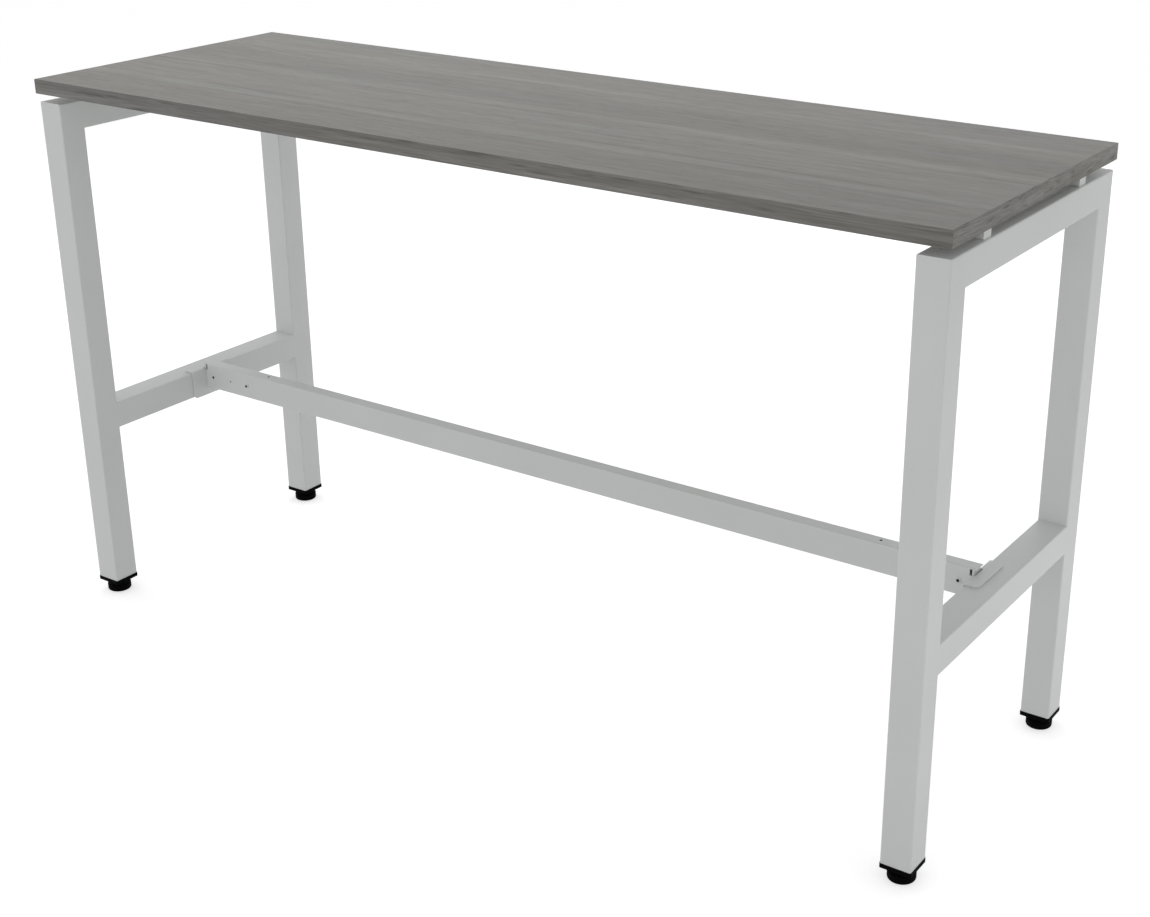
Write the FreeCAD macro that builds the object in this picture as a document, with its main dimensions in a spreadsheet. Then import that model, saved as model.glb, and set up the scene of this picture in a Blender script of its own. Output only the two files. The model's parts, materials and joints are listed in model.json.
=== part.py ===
"""Fixed-height standing desk: a wood-grain top carried over two welded end frames.

Millimetres, +Z up. The origin lies on the floor under the middle of the desk, +X runs to the
right along its length and +Y runs to the back.
"""

import FreeCAD, Part
import math
import os
import Sketcher

# Driving sizes: name, value in millimetres or a count, and what it measures
SIZES = [
    ("top_length", "1829", "length of the top"),
    ("top_depth", "609.6", "depth of the top, front to back"),
    ("desk_height", "1044", "floor to the upper face of the top"),
    ("top_thickness", "26.6", "thickness of the top"),
    ("sheet_thickness", "0.8", "face laminate and backing sheet"),
    ("band_thickness", "2", "edge band"),
    ("band_arris", "1", "rounding of the edge band's outer edges"),
    ("tube_size", "52.5", "outside of the square frame tube"),
    ("tube_wall", "2", "wall of the frame tube"),
    ("tube_corner", "2.5", "outside corner radius of the tubes"),
    ("tube_inner_corner", "0.5", "inside corner radius of the tubes"),
    ("frame_end_inset", "1.7", "end of the top to the outer face of an end frame"),
    ("frame_side_inset", "5.9", "front of the top to the front face of the legs"),
    ("cross_rail_top", "403.5", "floor to the top of the cross rails"),
    ("rail_width", "25", "width of a support rail"),
    ("rail_height", "15.5", "height of a support rail, which is the gap under the top"),
    ("rail_wall", "1.5", "wall and closed ends of a support rail"),
    ("rail_corner", "2", "outside corner radius of a support rail"),
    ("rail_spacing", "352", "middle of one support rail to the middle of the other"),
    ("rail_end_inset", "4", "outer face of an end frame to the end of a support rail"),
    ("wood_screw_columns", "6", "wood screws along each support rail"),
    ("wood_screw_run", "1600", "first to last wood screw of a rail"),
    ("wood_screw_shank", "4.5", "diameter of a wood screw"),
    ("wood_screw_head", "9", "head diameter of a wood screw"),
    ("wood_screw_head_height", "2.6", "head height of a wood screw"),
    ("wood_screw_bite", "18", "how far a wood screw reaches into the top"),
    ("wood_screw_tip", "1.5", "chamfer that stands for a wood screw's point"),
    ("frame_screw_shank", "6", "diameter of a frame screw"),
    ("frame_screw_head", "11", "head diameter of a frame screw"),
    ("frame_screw_head_height", "3.3", "head height of a frame screw"),
    ("frame_screw_spare", "2", "frame screw showing past its nut"),
    ("rail_nut_across", "10", "across flats of a rail nut"),
    ("rail_nut_height", "5", "height of a rail nut"),
    ("screw_clearance", "0.2", "radial room round a screw in its hole"),
    ("thread_clearance", "0.05", "radial room in a tapped or self-cut hole"),
    ("screw_head_arris", "1.2", "rounding of the screw heads"),
    ("stretcher_depth", "26", "stretcher tube, front to back"),
    ("stretcher_height", "52.5", "stretcher tube, bottom to top"),
    ("stretcher_wall", "2", "wall of the stretcher tube"),
    ("stretcher_rise", "13", "top of the stretcher over the top of the cross rails"),
    ("stretcher_end_gap", "0.3", "end of the stretcher to the bracket's plate"),
    ("stretcher_tongue", "7.3", "stretcher's top wall running on over the bracket's tab"),
    ("tongue_slot", "4.2", "slot under a tongue, cut into the stretcher's end"),
    ("joint_screw_setback", "22", "end of the stretcher to its first screw"),
    ("joint_screw_pitch", "94", "first to second screw at one end of the stretcher"),
    ("joint_screw_shank", "5", "diameter of a stretcher screw"),
    ("joint_screw_head", "9.5", "head diameter of a stretcher screw"),
    ("joint_screw_head_height", "2.75", "head height of a stretcher screw"),
    ("joint_screw_length", "10", "length of a stretcher screw under its head"),
    ("drain_hole", "4", "small hole between the two screws at each end"),
    ("accessory_hole", "5", "hole in the top of the stretcher"),
    ("accessory_hole_setback", "167", "end of the stretcher to that hole"),
    ("bracket_width", "101.6", "bracket, front to back"),
    ("bracket_plate", "3", "thickness of the bracket's plate"),
    ("bracket_flange", "25", "how far the bracket lies over the cross rail"),
    ("bracket_drop", "2.5", "bracket's lower edge under the cross rail"),
    ("bracket_bend", "1.5", "inside bend radius of the bracket"),
    ("bracket_corner", "10", "rounding of the bracket's free corners"),
    ("bracket_arris", "1", "chamfer of the bracket's edges that lie on the cross rail"),
    ("tab_relief", "2", "slot beside the bracket's upright tab"),
    ("tab_notch", "4", "slot in the flange behind the upright tab"),
    ("spigot_length", "130", "length of a spigot"),
    ("spigot_height", "35", "height of a spigot"),
    ("spigot_wall", "2.5", "wall of a spigot"),
    ("spigot_clearance", "0.3", "room between a spigot and the stretcher"),
    ("cap_flange", "8", "thickness of a leg cap's flange"),
    ("cap_overhang", "1", "flange standing proud of the leg"),
    ("cap_arris", "0.8", "rounding of the flange's lower edge"),
    ("cap_plug_depth", "24", "how far a leg cap reaches into the leg"),
    ("cap_plug_wall", "3", "wall of the leg cap's plug"),
    ("cap_plug_clearance", "0.2", "room between the plug and the leg"),
    ("cap_boss", "26", "diameter of the boss inside a leg cap"),
    ("foot_nut_across", "16", "across flats of a foot nut"),
    ("foot_nut_height", "8.4", "height of a foot nut"),
    ("foot_nut_recess", "0.5", "foot nut set back from the flange's lower face"),
    ("foot_nut_clearance", "0.1", "room round a foot nut in its pocket"),
    ("stud_diameter", "10", "diameter of a foot stud"),
    ("stud_length", "62", "length of a foot stud"),
    ("stud_hole_clearance", "0.5", "radial room round a stud in the leg cap"),
    ("stud_tip", "1.2", "chamfer on a stud's upper end"),
    ("collar_across", "17", "across flats of a stud's spanner collar"),
    ("collar_height", "8", "height of the spanner collar"),
    ("pad_diameter", "46", "diameter of a foot pad"),
    ("pad_height", "15", "height of a foot pad"),
    ("pad_lower_edge", "4", "rounding of a pad's lower edge"),
    ("pad_upper_edge", "2", "chamfer of a pad's upper edge"),
    ("socket_depth", "9", "socket in a foot pad"),
    ("socket_clearance", "0.08", "radial room round a stud in its socket"),
    ("seat_gap", "0.2", "stud to the pad, above and below"),
    ("foot_gap", "0.3", "spanner collar to the leg cap, foot wound in"),
]

# Places worked out from those sizes: name, formula and what it gives
PLACES = [
    ("frame_length", "=sizes.top_length - 2 * sizes.frame_end_inset", "both end frames, outside"),
    ("frame_depth", "=sizes.top_depth - 2 * sizes.frame_side_inset", "an end frame, outside"),
    ("top_underside", "=sizes.desk_height - sizes.top_thickness", "height of the top's lower face"),
    ("frame_top", "=top_underside - sizes.rail_height", "height of the end frames"),
    ("collar_bottom", "=sizes.pad_height + sizes.seat_gap", "height of a spanner collar"),
    ("cap_bottom", "=collar_bottom + sizes.collar_height + sizes.foot_gap", "height of a leg cap"),
    ("leg_bottom", "=cap_bottom + sizes.cap_flange", "height of a leg's lower end"),
    ("leg_length", "=frame_top - leg_bottom", "length of a leg"),
    ("leg_x", "=(frame_length - sizes.tube_size) / 2", "middle of a leg along the desk"),
    ("leg_y", "=(frame_depth - sizes.tube_size) / 2", "middle of a leg across the desk"),
    ("tube_inside", "=sizes.tube_size - 2 * sizes.tube_wall", "inside of the frame tube"),
    ("rail_length", "=frame_length - 2 * sizes.rail_end_inset", "length of a support rail"),
    ("core_length", "=sizes.top_length - 2 * sizes.band_thickness", "length of the core board"),
    ("core_depth", "=sizes.top_depth - 2 * sizes.band_thickness", "depth of the core board"),
    ("core_thickness", "=sizes.top_thickness - 2 * sizes.sheet_thickness", "core board"),
    ("cross_rail_length", "=frame_depth - 2 * sizes.tube_size", "length of a cross rail"),
    ("cross_rail_face", "=frame_length / 2 - sizes.tube_size", "inner face of a cross rail"),
    ("bracket_face", "=cross_rail_face - sizes.bracket_plate", "inner face of a bracket"),
    ("stretcher_length", "=2 * (bracket_face - sizes.stretcher_end_gap)", "stretcher without its tongues"),
    ("tongue_end", "=stretcher_length / 2 + sizes.stretcher_tongue", "end of a tongue"),
    ("stretcher_top", "=sizes.cross_rail_top + sizes.stretcher_rise", "height of the stretcher"),
    ("stretcher_middle", "=stretcher_top - sizes.stretcher_height / 2", "its middle height"),
    ("joint_screw_x", "=stretcher_length / 2 - sizes.joint_screw_setback", "outer stretcher screw"),
    ("spigot_fit", "=sizes.stretcher_wall + sizes.spigot_clearance", "stretcher's outside to a spigot"),
    ("spigot_depth", "=sizes.stretcher_depth - 2 * spigot_fit", "a spigot, front to back"),
    ("spigot_bottom", "=stretcher_top - sizes.stretcher_height + spigot_fit", "height of a spigot"),
    ("spigot_middle", "=spigot_bottom + sizes.spigot_height / 2", "middle height of a spigot"),
    ("stud_bottom", "=sizes.pad_height - sizes.socket_depth + sizes.seat_gap", "height of a stud"),
    ("cap_width", "=sizes.tube_size + 2 * sizes.cap_overhang", "a leg cap's flange"),
    ("plug_width", "=tube_inside - 2 * sizes.cap_plug_clearance", "a leg cap's plug"),
]

# Legs and feet: name, side along X and side along Y
CORNERS = [
    ("front_left", -1, -1),
    ("front_right", 1, -1),
    ("back_left", -1, 1),
    ("back_right", 1, 1),
]
ENDS = [("left", -1), ("right", 1)]
DEPTHS = [("front", -1), ("back", 1)]

# Sketch cuts reach this far past the faces that they open
CUT_MARGIN = "5"

# Outlines are first drawn this large, and then the sheets set them
DRAWN_SIZE = 10

# Two lengths that differ by less than this are the same
SAME_LENGTH = 1e-6

doc = FreeCAD.newDocument("standing_desk")
pieces = []


# Spreadsheets

def add_sheet(name, rows):
    """Add a spreadsheet with a meaning and a named cell in each row."""
    sheet = doc.addObject("Spreadsheet::Sheet", name)
    for row, (alias, content, meaning) in enumerate(rows, start=1):
        sheet.set(f"A{row}", meaning)
        sheet.set(f"B{row}", content)
        sheet.setAlias(f"B{row}", alias)
    doc.recompute()


# Bodies, sketches and features

def add_body(label):
    """Start a new sub-part, whose label names its file."""
    body = doc.addObject("PartDesign::Body", label)
    body.Label = label
    pieces.append(body)
    return body


def datum(body, role):
    """A plane or an axis of the body's own origin."""
    return next(item for item in body.Origin.OriginFeatures if item.Role == role)


def place(body, x="0", y="0", z="0", axis=(0, 0, 1), degrees=0):
    """Turn a finished body, then tie its place to the sheets."""
    turn = FreeCAD.Rotation(FreeCAD.Vector(*axis), degrees)
    body.Placement = FreeCAD.Placement(FreeCAD.Vector(), turn)
    for letter, formula in (("x", x), ("y", y), ("z", z)):
        body.setExpression(f"Placement.Base.{letter}", formula)


def add_sketch(body, role, x="0", y="0", z="0"):
    """A sketch on an origin plane, shifted in its own axes."""
    sketch = body.newObject("Sketcher::SketchObject", "sketch")
    sketch.AttachmentSupport = [(datum(body, role), "")]
    sketch.MapMode = "FlatFace"
    for letter, formula in (("x", x), ("y", y), ("z", z)):
        sketch.setExpression(f"AttachmentOffset.Base.{letter}", formula)
    return sketch


def bind(sketch, constraint, name, formula):
    """Add a dimension to a sketch and tie it to a formula."""
    index = sketch.addConstraint(constraint)
    sketch.renameConstraint(index, name)
    sketch.setExpression(f"Constraints.{name}", formula)


def draw_loop(sketch, points):
    """Draw a closed outline of straight lines and return its first line's number."""
    first = sketch.GeometryCount
    count = len(points)
    corners = [FreeCAD.Vector(x, y, 0) for x, y in points]
    for step in range(count):
        sketch.addGeometry(Part.LineSegment(corners[step], corners[(step + 1) % count]), False)
    for step in range(count):
        following = first + (step + 1) % count
        sketch.addConstraint(Sketcher.Constraint("Coincident", first + step, 2, following, 1))
    return first


def draw_rectangle(sketch, name, width, height):
    """A rectangle about the sketch's origin."""
    half = DRAWN_SIZE / 2
    first = draw_loop(sketch, [(-half, -half), (half, -half), (half, half), (-half, half)])
    for side in (first, first + 2):
        sketch.addConstraint(Sketcher.Constraint("Horizontal", side))
        sketch.addConstraint(Sketcher.Constraint("Vertical", side + 1))
    sketch.addConstraint(Sketcher.Constraint("Symmetric", first, 1, first + 2, 1, -1, 1))
    across = Sketcher.Constraint("DistanceX", first, 1, first, 2, DRAWN_SIZE)
    bind(sketch, across, f"{name}_width", width)
    upward = Sketcher.Constraint("DistanceY", first + 1, 1, first + 1, 2, DRAWN_SIZE)
    bind(sketch, upward, f"{name}_height", height)


def draw_corner(sketch, leg, upward):
    """A right triangle with its square corner at the sketch's origin and both legs equal."""
    rise = DRAWN_SIZE if upward else -DRAWN_SIZE
    first = draw_loop(sketch, [(0, 0), (-DRAWN_SIZE, 0), (0, rise)])
    sketch.addConstraint(Sketcher.Constraint("Coincident", first, 1, -1, 1))
    sketch.addConstraint(Sketcher.Constraint("Horizontal", first))
    sketch.addConstraint(Sketcher.Constraint("Vertical", first + 2))
    bind(sketch, Sketcher.Constraint("DistanceX", first, 2, first, 1, DRAWN_SIZE), "across", leg)
    low, high = (2, 1) if upward else (1, 2)
    bind(sketch, Sketcher.Constraint("DistanceY", first + 2, low, first + 2, high, DRAWN_SIZE), "along", leg)


def draw_circle(sketch, diameter):
    """A circle about the sketch's origin."""
    drawn = Part.Circle(FreeCAD.Vector(), FreeCAD.Vector(0, 0, 1), DRAWN_SIZE / 2)
    circle = sketch.addGeometry(drawn, False)
    sketch.addConstraint(Sketcher.Constraint("Coincident", circle, 3, -1, 1))
    bind(sketch, Sketcher.Constraint("Diameter", circle, DRAWN_SIZE), "diameter", diameter)


def draw_hexagon(sketch, across_flats):
    """A regular hexagon about the sketch's origin, with two of its flats level."""
    turns = [math.radians(60 * step) for step in range(6)]
    radius = DRAWN_SIZE / 2
    first = draw_loop(sketch, [(radius * math.cos(turn), radius * math.sin(turn)) for turn in turns])
    drawn = Part.Circle(FreeCAD.Vector(), FreeCAD.Vector(0, 0, 1), radius)
    circle = sketch.addGeometry(drawn, True)
    sketch.addConstraint(Sketcher.Constraint("Coincident", circle, 3, -1, 1))
    for side in range(first, first + 6):
        sketch.addConstraint(Sketcher.Constraint("PointOnObject", side, 1, circle))
    for side in range(first + 1, first + 6):
        sketch.addConstraint(Sketcher.Constraint("Equal", first, side))
    sketch.addConstraint(Sketcher.Constraint("Horizontal", first + 1))
    corners = Sketcher.Constraint("Diameter", circle, DRAWN_SIZE)
    bind(sketch, corners, "corners", f"({across_flats}) / cos(30 deg)")


def pad(body, sketch, length, both_sides=False):
    """Raise a sketch along its normal, or equally to both sides."""
    feature = body.newObject("PartDesign::Pad", "pad")
    feature.Profile = sketch
    feature.setExpression("Length", length)
    feature.SideType = "Symmetric" if both_sides else "One side"
    doc.recompute()


def cut(body, sketch, length, both_sides=False, along_normal=False):
    """Cut a sketch into the body, and stop if nothing was removed."""
    before = body.Shape.Volume
    feature = body.newObject("PartDesign::Pocket", "cut")
    feature.Profile = sketch
    feature.setExpression("Length", length)
    feature.SideType = "Symmetric" if both_sides else "One side"
    feature.Reversed = along_normal
    doc.recompute()
    if not body.Shape.Volume < before:
        raise RuntimeError(f"a cut in {body.Label} removes nothing")
    return feature


def repeat(body, features, axis, run, count):
    """Repeat cuts in a row along an axis of the body."""
    pattern = body.newObject("PartDesign::LinearPattern", "row")
    pattern.Originals = features
    pattern.Direction = (datum(body, axis), [""])
    pattern.setExpression("Length", run)
    pattern.setExpression("Occurrences", count)
    body.Tip = pattern
    doc.recompute()
    return pattern


def mirror(body, features, role):
    """Mirror cuts in an origin plane of the body."""
    pattern = body.newObject("PartDesign::Mirrored", "mirrored")
    pattern.Originals = features
    pattern.MirrorPlane = (datum(body, role), [""])
    body.Tip = pattern
    doc.recompute()


def spread(body, axis, run, count="2"):
    """Copy the whole body along an axis of its own, as separate solids."""
    group = body.newObject("PartDesign::LinearPattern", "group")
    group.TransformMode = "Whole shape"
    group.Direction = (datum(body, axis), [""])
    group.setExpression("Length", run)
    group.setExpression("Occurrences", count)
    body.Tip = group
    doc.recompute()


def edge_names(shape, wanted):
    """Names of the edges that pass a test."""
    return [f"Edge{number}" for number, edge in enumerate(shape.Edges, start=1) if wanted(edge)]


def dress(body, kind, names, size):
    """Round or chamfer named edges of the body's last feature."""
    base = body.Tip
    feature = body.newObject(f"PartDesign::{kind}", kind.lower())
    feature.Base = (base, names)
    feature.setExpression("Radius" if kind == "Fillet" else "Size", size)
    doc.recompute()


def near(one, other):
    """Whether two lengths are the same."""
    return abs(one - other) < SAME_LENGTH


def runs_along(edge, axis):
    """Whether an edge's two ends lie on a line parallel to an axis."""
    ends = [vertex.Point for vertex in edge.Vertexes]
    return len(ends) == 2 and ends[0].sub(ends[1]).cross(FreeCAD.Vector(*axis)).Length < SAME_LENGTH


def at_level(edge, height):
    """Whether an edge lies level at a height in the body's own frame."""
    return near(edge.BoundBox.ZMin, height) and near(edge.BoundBox.ZMax, height)


# Tubes

def add_tube(label, width, height, wall, length, both_sides=False):
    """A rectangular tube along its own Z axis, with rounded corners inside and out."""
    body = add_body(label)
    section = add_sketch(body, "XY_Plane")
    draw_rectangle(section, "outer", width, height)
    draw_rectangle(section, "inner", f"({width}) - 2 * {wall}", f"({height}) - 2 * {wall}")
    pad(body, section, length, both_sides)
    for outside, radius in ((True, "sizes.tube_corner"), (False, "sizes.tube_inner_corner")):
        long_edges = [edge for edge in body.Shape.Edges if runs_along(edge, (0, 0, 1))]
        reach = sorted(distance_off_axis(edge) for edge in long_edges)
        limit = (reach[0] + reach[-1]) / 2
        names = edge_names(body.Shape, lambda edge: is_corner(edge, limit, outside))
        dress(body, "Fillet", names, radius)
    return body


def distance_off_axis(edge):
    """How far a lengthwise edge lies from the tube's own axis."""
    point = edge.Vertexes[0].Point
    return (point.x ** 2 + point.y ** 2) ** 0.5


def is_corner(edge, limit, outside):
    """Whether a lengthwise edge is one of the tube's outer, or inner, corners."""
    return runs_along(edge, (0, 0, 1)) and (distance_off_axis(edge) > limit) == outside


def mitre(body, at, upward):
    """Cut a tube's end at 45 degrees, so that its own -Y face stays long."""
    shift = f"sizes.tube_size / 2 + {CUT_MARGIN}"
    level = f"{at} - {CUT_MARGIN}" if upward else f"{at} + {CUT_MARGIN}"
    wedge = add_sketch(body, "YZ_Plane", x=shift, y=level)
    draw_corner(wedge, f"sizes.tube_size + 2 * {CUT_MARGIN}", upward)
    cut(body, wedge, "2 * sizes.tube_size", both_sides=True)


def frame_tube(label, length):
    """A length of the square tube that both end frames are made of."""
    size = "sizes.tube_size"
    return add_tube(label, size, size, "sizes.tube_wall", length)


# The top

def add_board(label, length, depth, thickness):
    """A flat board that lies on its own XY plane."""
    body = add_body(label)
    outline = add_sketch(body, "XY_Plane")
    draw_rectangle(outline, "board", length, depth)
    pad(body, outline, thickness)
    return body


def drill_for_wood_screws(body, diameter, depth):
    """Drill the grid of wood screw holes up from the body's own XY plane."""
    hole = add_sketch(body, "XY_Plane", x="-sizes.wood_screw_run / 2", y="-sizes.rail_spacing / 2")
    draw_circle(hole, diameter)
    first = cut(body, hole, depth, along_normal=True)
    grid = repeat(body, [first], "X_Axis", "sizes.wood_screw_run", "sizes.wood_screw_columns")
    grid.Direction2 = (datum(body, "Y_Axis"), [""])
    grid.setExpression("Length2", "sizes.rail_spacing")
    grid.Occurrences2 = len(DEPTHS)
    doc.recompute()


def build_top():
    """Core board between two thin sheets."""
    length = "places.core_length"
    depth = "places.core_depth"
    backer = add_board("top_backing_sheet", length, depth, "sizes.sheet_thickness")
    drill_for_wood_screws(
        backer, "sizes.wood_screw_shank + 2 * sizes.screw_clearance", "sizes.sheet_thickness")
    place(backer, z="places.top_underside")

    core = add_board("top_core_board", length, depth, "places.core_thickness")
    drill_for_wood_screws(
        core, "sizes.wood_screw_shank + 2 * sizes.thread_clearance", "sizes.wood_screw_bite")
    place(core, z="places.top_underside + sizes.sheet_thickness")

    face = add_board("top_face_laminate", length, depth, "sizes.sheet_thickness")
    place(face, z="sizes.desk_height - sizes.sheet_thickness")


def build_edge_bands():
    """Bands on the four sides of the top; the long ones cover the ends of the short ones."""
    thickness = "sizes.band_thickness"
    height = "sizes.top_thickness"
    for name, side in DEPTHS:
        band = add_board(f"edge_band_{name}", "sizes.top_length", thickness, height)
        inner = band.Shape.BoundBox.YMax
        free = edge_names(band.Shape, lambda edge: not near(edge.BoundBox.YMin, inner))
        dress(band, "Fillet", free, "sizes.band_arris")
        middle = f"{side} * (sizes.top_depth - sizes.band_thickness) / 2"
        place(band, y=middle, z="places.top_underside", degrees=0 if side < 0 else 180)

    for name, side in ENDS:
        band = add_board(f"edge_band_{name}", thickness, "places.core_depth", height)
        inner = band.Shape.BoundBox.XMax
        free = edge_names(
            band.Shape, lambda edge: runs_along(edge, (0, 1, 0)) and not near(edge.BoundBox.XMin, inner))
        dress(band, "Fillet", free, "sizes.band_arris")
        middle = f"{side} * (sizes.top_length - sizes.band_thickness) / 2"
        place(band, x=middle, z="places.top_underside", degrees=0 if side < 0 else 180)


# The end frames

def build_end_frames():
    """Two legs, a mitred top rail and a cross rail at each end."""
    for name, side_x, side_y in CORNERS:
        leg = frame_tube(f"leg_{name}", "places.leg_length")
        mitre(leg, "places.leg_length", upward=False)
        place(leg, f"{side_x} * places.leg_x", f"{side_y} * places.leg_y", "places.leg_bottom",
              degrees=0 if side_y < 0 else 180)

    for name, side in ENDS:
        rail = frame_tube(f"top_rail_{name}", "places.frame_depth")
        mitre(rail, "places.frame_depth", upward=False)
        mitre(rail, "0", upward=True)
        hole = add_sketch(rail, "XZ_Plane", y="(places.frame_depth - sizes.rail_spacing) / 2")
        draw_circle(hole, "sizes.frame_screw_shank + 2 * sizes.screw_clearance")
        first = cut(rail, hole, "2 * sizes.tube_size", both_sides=True)
        repeat(rail, [first], "Z_Axis", "sizes.rail_spacing", "2")
        place(rail, f"{side} * places.leg_x", "-places.frame_depth / 2",
              "places.frame_top - sizes.tube_size / 2", axis=(1, 0, 0), degrees=-90)

        cross = frame_tube(f"cross_rail_{name}", "places.cross_rail_length")
        place(cross, f"{side} * places.leg_x", "-places.cross_rail_length / 2",
              "sizes.cross_rail_top - sizes.tube_size / 2", axis=(1, 0, 0), degrees=-90)


# The support rails under the top, with their screws and nuts

def build_support_rails():
    """Closed rectangular tubes that carry the top from one end frame to the other."""
    for name, side in DEPTHS:
        rail = add_body(f"support_rail_{name}")
        outside = add_sketch(rail, "YZ_Plane")
        draw_rectangle(outside, "outer", "sizes.rail_width", "sizes.rail_height")
        pad(rail, outside, "places.rail_length", both_sides=True)
        long_edges = edge_names(rail.Shape, lambda edge: runs_along(edge, (1, 0, 0)))
        dress(rail, "Fillet", long_edges, "sizes.rail_corner")
        hollow = add_sketch(rail, "YZ_Plane")
        draw_rectangle(hollow, "inner", "sizes.rail_width - 2 * sizes.rail_wall",
                       "sizes.rail_height - 2 * sizes.rail_wall")
        cut(rail, hollow, "places.rail_length - 2 * sizes.rail_wall", both_sides=True)

        wood_screw = add_sketch(rail, "XY_Plane", x="-sizes.wood_screw_run / 2")
        draw_circle(wood_screw, "sizes.wood_screw_shank + 2 * sizes.screw_clearance")
        first = cut(rail, wood_screw, "2 * sizes.rail_height", both_sides=True)
        repeat(rail, [first], "X_Axis", "sizes.wood_screw_run", "sizes.wood_screw_columns")

        frame_screw = add_sketch(rail, "XY_Plane", x="-places.leg_x")
        draw_circle(frame_screw, "sizes.frame_screw_shank + 2 * sizes.screw_clearance")
        first = cut(rail, frame_screw, "sizes.rail_height")
        repeat(rail, [first], "X_Axis", "2 * places.leg_x", "2")
        place(rail, y=f"{side} * sizes.rail_spacing / 2", z="places.frame_top + sizes.rail_height / 2")


def add_screw(label, shank, length, head, head_height):
    """A round-headed screw that points up, with the underside of its head on its own XY plane."""
    body = add_body(label)
    crown = add_sketch(body, "XY_Plane", z=f"-{head_height}")
    draw_circle(crown, head)
    pad(body, crown, head_height)
    lowest = body.Shape.BoundBox.ZMin
    rim = edge_names(body.Shape, lambda edge: at_level(edge, lowest))
    dress(body, "Fillet", rim, "sizes.screw_head_arris")
    stem = add_sketch(body, "XY_Plane")
    draw_circle(stem, shank)
    pad(body, stem, length)
    return body


def build_top_fixings():
    """Wood screws into the top, and frame screws into nuts inside the support rails."""
    reach = "sizes.rail_height + sizes.wood_screw_bite"
    wood_screws = add_screw("top_screws", "sizes.wood_screw_shank", reach,
                            "sizes.wood_screw_head", "sizes.wood_screw_head_height")
    highest = wood_screws.Shape.BoundBox.ZMax
    tip = edge_names(wood_screws.Shape, lambda edge: at_level(edge, highest))
    dress(wood_screws, "Chamfer", tip, "sizes.wood_screw_tip")
    spread(wood_screws, "X_Axis", "sizes.wood_screw_run", "sizes.wood_screw_columns")
    spread(wood_screws, "Y_Axis", "sizes.rail_spacing")
    place(wood_screws, "-sizes.wood_screw_run / 2", "-sizes.rail_spacing / 2", "places.frame_top")

    reach = "sizes.tube_size + sizes.rail_wall + sizes.rail_nut_height + sizes.frame_screw_spare"
    frame_screws = add_screw("frame_screws", "sizes.frame_screw_shank", reach,
                             "sizes.frame_screw_head", "sizes.frame_screw_head_height")
    spread(frame_screws, "X_Axis", "2 * places.leg_x")
    spread(frame_screws, "Y_Axis", "sizes.rail_spacing")
    place(frame_screws, "-places.leg_x", "-sizes.rail_spacing / 2", "places.frame_top - sizes.tube_size")

    nuts = add_nut("rail_nuts", "sizes.rail_nut_across", "sizes.rail_nut_height", "sizes.frame_screw_shank")
    spread(nuts, "X_Axis", "2 * places.leg_x")
    spread(nuts, "Y_Axis", "sizes.rail_spacing")
    place(nuts, "-places.leg_x", "-sizes.rail_spacing / 2", "places.frame_top + sizes.rail_wall")


def add_nut(label, across_flats, height, screw):
    """A hexagon nut that stands on its own XY plane."""
    body = add_body(label)
    outline = add_sketch(body, "XY_Plane")
    draw_hexagon(outline, across_flats)
    pad(body, outline, height)
    bore = add_sketch(body, "XY_Plane")
    draw_circle(bore, f"{screw} + 2 * sizes.thread_clearance")
    cut(body, bore, height, along_normal=True)
    return body


# The stretcher, its brackets and its screws

def build_stretcher():
    """Flat tube between the brackets; each end has a slotted tongue, screw holes and an accessory hole."""
    body = add_tube("stretcher", "sizes.stretcher_height", "sizes.stretcher_depth", "sizes.stretcher_wall",
                    "2 * places.tongue_end", both_sides=True)
    below_tongue = add_sketch(body, "XY_Plane", x=f"(sizes.stretcher_wall + {CUT_MARGIN}) / 2",
                              z="places.stretcher_length / 2")
    draw_rectangle(below_tongue, "end", f"sizes.stretcher_height - sizes.stretcher_wall + {CUT_MARGIN}",
                   f"sizes.stretcher_depth + {CUT_MARGIN}")
    shortened = cut(body, below_tongue, f"sizes.stretcher_tongue + {CUT_MARGIN}", along_normal=True)
    slot = add_sketch(
        body, "XY_Plane",
        x="(sizes.stretcher_wall + sizes.stretcher_rise - sizes.stretcher_height) / 2",
        z="places.stretcher_length / 2 - sizes.tongue_slot")
    draw_rectangle(slot, "slot", "sizes.stretcher_rise - sizes.stretcher_wall",
                   f"sizes.stretcher_depth + {CUT_MARGIN}")
    slotted = cut(body, slot, f"sizes.tongue_slot + {CUT_MARGIN}", along_normal=True)
    screw_hole = add_sketch(body, "XZ_Plane", y="places.joint_screw_x - sizes.joint_screw_pitch")
    draw_circle(screw_hole, "sizes.joint_screw_shank + 2 * sizes.screw_clearance")
    first = cut(body, screw_hole, "sizes.stretcher_depth", along_normal=True)
    drain = add_sketch(body, "XZ_Plane", y="places.joint_screw_x - sizes.joint_screw_pitch / 2")
    draw_circle(drain, "sizes.drain_hole")
    middle = cut(body, drain, "sizes.stretcher_depth", along_normal=True)
    second_hole = add_sketch(body, "XZ_Plane", y="places.joint_screw_x")
    draw_circle(second_hole, "sizes.joint_screw_shank + 2 * sizes.screw_clearance")
    second = cut(body, second_hole, "sizes.stretcher_depth", along_normal=True)
    accessory = add_sketch(
        body, "YZ_Plane", y="places.stretcher_length / 2 - sizes.accessory_hole_setback")
    draw_circle(accessory, "sizes.accessory_hole")
    upper = cut(body, accessory, "sizes.stretcher_height")
    mirror(body, [shortened, slotted, first, middle, second, upper], "XY_Plane")
    place(body, z="places.stretcher_middle", axis=(0, 1, 0), degrees=90)


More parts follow.
